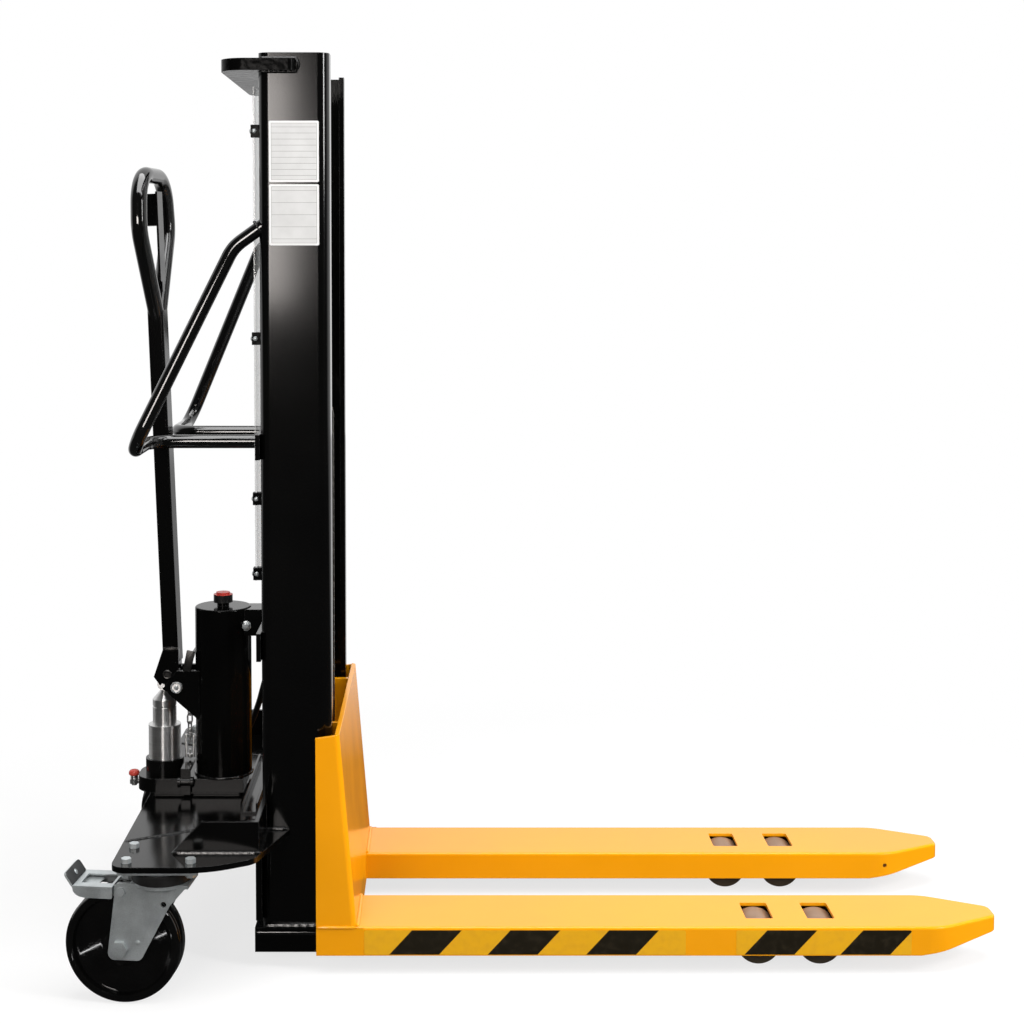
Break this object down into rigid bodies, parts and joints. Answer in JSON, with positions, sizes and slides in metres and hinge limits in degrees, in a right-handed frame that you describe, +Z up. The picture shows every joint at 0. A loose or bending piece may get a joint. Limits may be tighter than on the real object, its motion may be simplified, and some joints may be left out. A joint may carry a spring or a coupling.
{
  "type": "pallet stacker",
  "caption": "Hand-pumped pallet stacker: yellow forks on a chain-lifted carriage, black channel mast, pump unit with tall handle on a rear deck, roller legs and swivel castors.",
  "frame": {"origin": "middle of the footprint on the floor", "axes": "+X along the forks towards their tips, +Y towards the left side, +Z up"},
  "size_m": [1.6351, 0.876, 1.619],
  "materials": {
    "black_paint": "gloss",
    "yellow_paint": "satin gloss",
    "zinc_plate": "zinc plated",
    "bright_steel": "machined",
    "dark_steel": "oiled",
    "chain_steel": "oiled",
    "black_plastic": "gloss",
    "wheel_plastic": "gloss",
    "roller_plastic": "satin",
    "red_plastic": "satin",
    "hose_rubber": "matte",
    "clear_sheet": "clear"
  },
  "bodies": {
    "frame": {"mast_channel_right": "black_paint", "mast_channel_left": "black_paint", "mast_top_plate": "black_paint", "mast_crossbars": "black_paint", "mast_low_plate": "black_paint", "mast_base_beam": "black_paint", "support_leg_right": "black_paint", "support_leg_left": "black_paint", "load_roller_axles": "bright_steel", "deck_plate": "black_paint", "deck_wings": "black_paint", "deck_gussets": "black_paint", "deck_stiffener": "black_paint", "push_bar_right": "black_paint", "push_bar_left": "black_paint", "guard_screen": "clear_sheet", "screen_clips": "black_plastic", "lift_cylinder": "black_paint", "chain_fixed_run": "chain_steel", "oil_tank": "black_paint", "tank_bracket": "black_paint", "pump_block": "black_paint", "pump_barrel": "bright_steel", "pump_collar": "black_plastic", "relief_valve": "red_plastic", "hydraulic_hose": "hose_rubber", "handle_bracket": "black_paint", "pivot_pins": "bright_steel", "castor_plates": "zinc_plate", "castor_bolts": "zinc_plate"},
    "carriage": {"fork_right": "yellow_paint", "fork_left": "yellow_paint", "carriage_plate": "yellow_paint", "carriage_uprights": "yellow_paint", "carriage_crossbar": "yellow_paint", "chain_moving_run": "chain_steel"},
    "piston": {"piston_rod": "bright_steel", "chain_wrap": "chain_steel"},
    "pulleys": {"chain_pulleys": "dark_steel"},
    "mast_rollers_low": {"mast_rollers_low": "dark_steel"},
    "mast_rollers_high": {"mast_rollers_high": "dark_steel"},
    "load_roller_rear_right": {"load_roller_rear_right": "roller_plastic"},
    "load_roller_rear_left": {"load_roller_rear_left": "roller_plastic"},
    "load_roller_front_right": {"load_roller_front_right": "roller_plastic"},
    "load_roller_front_left": {"load_roller_front_left": "roller_plastic"},
    "castor_right": {"castor_fork_right": "zinc_plate"},
    "castor_left": {"castor_fork_left": "zinc_plate"},
    "castor_wheel_right": {"castor_wheel_right": "wheel_plastic"},
    "castor_wheel_left": {"castor_wheel_left": "wheel_plastic"},
    "brake_pedal": {"brake_pedal": "zinc_plate"},
    "handle": {"handle_shaft": "black_paint", "handle_loop": "black_paint", "handle_pins": "bright_steel"},
    "push_roller": {"push_roller": "bright_steel"},
    "control_trigger": {"control_trigger": "black_plastic"},
    "pump_plunger": {"pump_plunger": "bright_steel"},
    "release_lever": {"release_lever": "black_paint"},
    "release_chain": {"release_chain": "chain_steel"},
    "filler_cap": {"filler_cap": "black_plastic"}
  },
  "joints": [
    {"name": "carriage_slide", "type": "slide", "parent": "frame", "child": "carriage", "axis": [0, 0, 1], "range_m": [0, 1.1], "deforming": ["chain_moving_run"]},
    {"name": "piston_slide", "type": "slide", "parent": "frame", "child": "piston", "axis": [0, 0, 1], "range_m": [0, 0.55], "deforming": ["chain_fixed_run"]},
    {"name": "pulley_spin", "type": "hinge", "parent": "piston", "child": "pulleys", "pos_m": [-0.43444, 0, 0.96], "axis": [0, -1, 0], "continuous": true},
    {"name": "mast_rollers_low_spin", "type": "hinge", "parent": "carriage", "child": "mast_rollers_low", "pos_m": [-0.43444, 0, 0.14], "axis": [0, -1, 0], "continuous": true},
    {"name": "mast_rollers_high_spin", "type": "hinge", "parent": "carriage", "child": "mast_rollers_high", "pos_m": [-0.43444, 0, 0.371], "axis": [0, 1, 0], "continuous": true},
    {"name": "load_roller_rear_right_spin", "type": "hinge", "parent": "frame", "child": "load_roller_rear_right", "pos_m": [0.39056, -0.192, 0.04], "axis": [0, 1, 0], "continuous": true},
    {"name": "load_roller_rear_left_spin", "type": "hinge", "parent": "frame", "child": "load_roller_rear_left", "pos_m": [0.39056, 0.192, 0.04], "axis": [0, 1, 0], "continuous": true},
    {"name": "load_roller_front_right_spin", "type": "hinge", "parent": "frame", "child": "load_roller_front_right", "pos_m": [0.50056, -0.192, 0.04], "axis": [0, 1, 0], "continuous": true},
    {"name": "load_roller_front_left_spin", "type": "hinge", "parent": "frame", "child": "load_roller_front_left", "pos_m": [0.50056, 0.192, 0.04], "axis": [0, 1, 0], "continuous": true},
    {"name": "castor_right_swivel", "type": "hinge", "parent": "frame", "child": "castor_right", "pos_m": [-0.65144, -0.376, 0.212], "axis": [0, 0, 1], "continuous": true},
    {"name": "castor_wheel_right_spin", "type": "hinge", "parent": "castor_right", "child": "castor_wheel_right", "pos_m": [-0.71609, -0.36921, 0.1], "axis": [0.1045, 0.9945, 0], "continuous": true},
    {"name": "brake_pedal_hinge", "type": "hinge", "parent": "castor_right", "child": "brake_pedal", "pos_m": [-0.7131, -0.36952, 0.1975], "axis": [-0.1045, -0.9945, 0], "range_deg": [0, 8]},
    {"name": "castor_left_swivel", "type": "hinge", "parent": "frame", "child": "castor_left", "pos_m": [-0.65144, 0.376, 0.212], "axis": [0, 0, 1], "continuous": true},
    {"name": "castor_wheel_left_spin", "type": "hinge", "parent": "castor_left", "child": "castor_wheel_left", "pos_m": [-0.71609, 0.36921, 0.1], "axis": [-0.1045, 0.9945, 0], "continuous": true},
    {"name": "handle_hinge", "type": "hinge", "parent": "frame", "child": "handle", "pos_m": [-0.67844, 0, 0.4533], "axis": [0, -1, 0], "range_deg": [0, 60], "stiffness_Nm_per_rad": 40, "springref_deg": -11.46},
    {"name": "push_roller_spin", "type": "hinge", "parent": "handle", "child": "push_roller", "pos_m": [-0.70644, 0, 0.4533], "axis": [0, 1, 0], "continuous": true},
    {"name": "control_trigger_hinge", "type": "hinge", "parent": "handle", "child": "control_trigger", "pos_m": [-0.71476, 0, 1.20248], "axis": [-0.0958, -0.9954, -0.0034], "range_deg": [0, 10], "stiffness_Nm_per_rad": 2, "springref_deg": -5.73},
    {"name": "plunger_slide", "type": "slide", "parent": "frame", "child": "pump_plunger", "axis": [0, 0, -1], "range_m": [0, 0.03]},
    {"name": "release_lever_hinge", "type": "hinge", "parent": "frame", "child": "release_lever", "pos_m": [-0.65844, -0.059, 0.28], "axis": [1, 0, 0], "range_deg": [0, 8.5]},
    {"name": "release_chain_slide", "type": "slide", "parent": "frame", "child": "release_chain", "axis": [0, 0, 1], "range_m": [0, 0.0095]},
    {"name": "filler_cap_turn", "type": "hinge", "parent": "frame", "child": "filler_cap", "pos_m": [-0.59344, 0, 0.61], "axis": [0, 0, 1], "range_deg": [0, 360]}
  ],
  "couplings": [
    {"joint": "piston_slide", "follows": "carriage_slide", "ratio": 0.5},
    {"joint": "pulley_spin", "follows": "carriage_slide", "rad_per_m": 10.989},
    {"joint": "mast_rollers_low_spin", "follows": "carriage_slide", "rad_per_m": 19.608},
    {"joint": "mast_rollers_high_spin", "follows": "carriage_slide", "rad_per_m": 19.608},
    {"joint": "plunger_slide", "follows": "handle_hinge", "m_per_rad": 0.028},
    {"joint": "release_lever_hinge", "follows": "control_trigger_hinge", "ratio": 0.8},
    {"joint": "release_chain_slide", "follows": "control_trigger_hinge", "m_per_rad": 0.0498}
  ]
}
